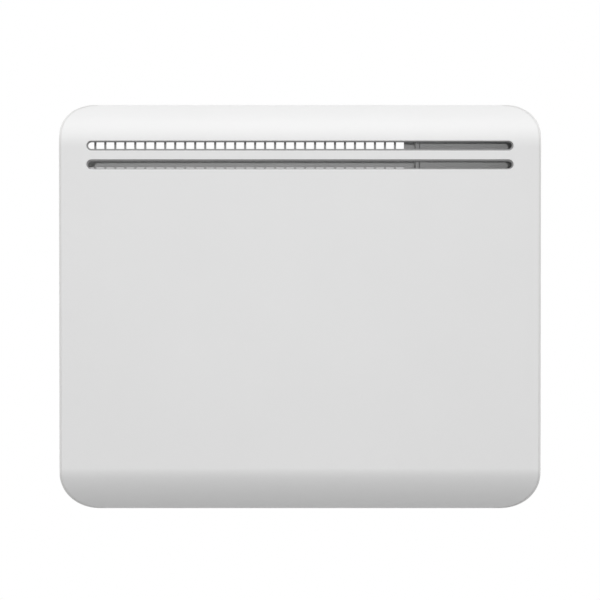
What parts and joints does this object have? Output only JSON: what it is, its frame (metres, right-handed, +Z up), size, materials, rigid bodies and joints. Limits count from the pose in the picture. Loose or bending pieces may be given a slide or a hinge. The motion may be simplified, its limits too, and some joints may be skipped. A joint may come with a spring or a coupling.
{
  "type": "electric wall panel heater",
  "caption": "Slim white electric convector heater with rolled edges, long air outlet slots and top controls, hung on a wall bracket and tilting forward for cleaning.",
  "frame": {"origin": "centre of the four wall screw slots, on the wall plane", "axes": "+Z up, +Y into the wall, +X to the right seen from the front; the front faces -Y"},
  "size_m": [0.429, 0.084, 0.3703],
  "materials": {
    "white_steel": "fine satin powder coat",
    "cap_plastic": "satin moulded ABS",
    "liner_plastic": "satin moulded polypropylene",
    "zinc_steel": "zinc plated",
    "screw_steel": "zinc plated, turned",
    "spring_steel": "tempered, oiled",
    "element_aluminium": "extruded",
    "shield_aluminium": "rolled, bright",
    "rod_steel": "drawn sheath",
    "insulator_ceramic": "fired steatite",
    "box_plastic": "fine textured ABS",
    "dark_plastic": "fine textured nylon",
    "rocker_plastic": "polished",
    "board_laminate": "solder mask",
    "relay_plastic": "moulded",
    "transformer_tape": "polyester tape",
    "block_nylon": "moulded nylon",
    "window_acrylic": "smoked, polished",
    "display_glass": "display cell",
    "ribbon_plastic": "flat cable",
    "button_plastic": "satin",
    "brown_lead": "silicone insulation",
    "blue_lead": "silicone insulation",
    "earth_lead": "silicone insulation",
    "black_lead": "PVC insulation",
    "stud_brass": "turned"
  },
  "bodies": {
    "bracket": {"wall_bracket": "zinc_steel", "spring_clip_left": "spring_steel", "spring_clip_right": "spring_steel", "clip_rivets": "zinc_steel"},
    "heater": {"front_panel": "white_steel", "back_cover": "white_steel", "end_cap_left": "cap_plastic", "end_cap_right": "cap_plastic", "outlet_liner": "liner_plastic", "hinge_bracket_left": "zinc_steel", "hinge_bracket_right": "zinc_steel", "hinge_pin_left": "zinc_steel", "hinge_pin_right": "zinc_steel", "hinge_rivets": "zinc_steel", "clip_stud_left": "zinc_steel", "clip_stud_right": "zinc_steel", "element_bracket_left": "zinc_steel", "element_bracket_right": "zinc_steel", "rod_terminals": "zinc_steel", "cover_screws": "screw_steel", "element_screws": "screw_steel", "lid_screws": "screw_steel", "housing_screws": "screw_steel", "element_body": "element_aluminium", "heat_shield": "shield_aluminium", "heating_rod": "rod_steel", "rod_insulators": "insulator_ceramic", "control_housing": "box_plastic", "control_lid": "box_plastic", "sensor_clip": "box_plastic", "control_bezel": "dark_plastic", "switch_body": "dark_plastic", "cord_gland": "dark_plastic", "temperature_sensor": "dark_plastic", "thermal_cutout": "dark_plastic", "button_switches": "dark_plastic", "capacitor": "dark_plastic", "control_board": "board_laminate", "button_board": "board_laminate", "relay": "relay_plastic", "transformer": "transformer_tape", "terminal_block": "block_nylon", "display_window": "window_acrylic", "display_module": "display_glass", "display_ribbon": "ribbon_plastic", "lead_live": "brown_lead", "lead_limited": "brown_lead", "lead_neutral": "blue_lead", "lead_earth": "earth_lead", "lead_sensor": "black_lead", "earth_stud": "stud_brass"},
    "minus_button": {"button_minus": "button_plastic"},
    "plus_button": {"button_plus": "button_plastic"},
    "mode_button": {"button_mode": "button_plastic"},
    "mains_rocker": {"power_rocker": "rocker_plastic"}
  },
  "joints": [
    {"name": "heater_tilt", "type": "hinge", "parent": "bracket", "child": "heater", "pos_m": [0, -0.014, -0.14], "axis": [1, 0, 0], "range_deg": [0, 15]},
    {"name": "minus_press", "type": "slide", "parent": "heater", "child": "minus_button", "axis": [0, 0, -1], "range_m": [0, 0.0008], "stiffness_N_per_m": 1500, "springref_m": -0.0004},
    {"name": "plus_press", "type": "slide", "parent": "heater", "child": "plus_button", "axis": [0, 0, -1], "range_m": [0, 0.0008], "stiffness_N_per_m": 1500, "springref_m": -0.0004},
    {"name": "mode_press", "type": "slide", "parent": "heater", "child": "mode_button", "axis": [0, 0, -1], "range_m": [0, 0.0008], "stiffness_N_per_m": 1500, "springref_m": -0.0004},
    {"name": "rocker_press", "type": "hinge", "parent": "heater", "child": "mains_rocker", "pos_m": [0.1742, -0.031, 0.1814], "axis": [0, -1, 0], "range_deg": [0, 16]}
  ]
}
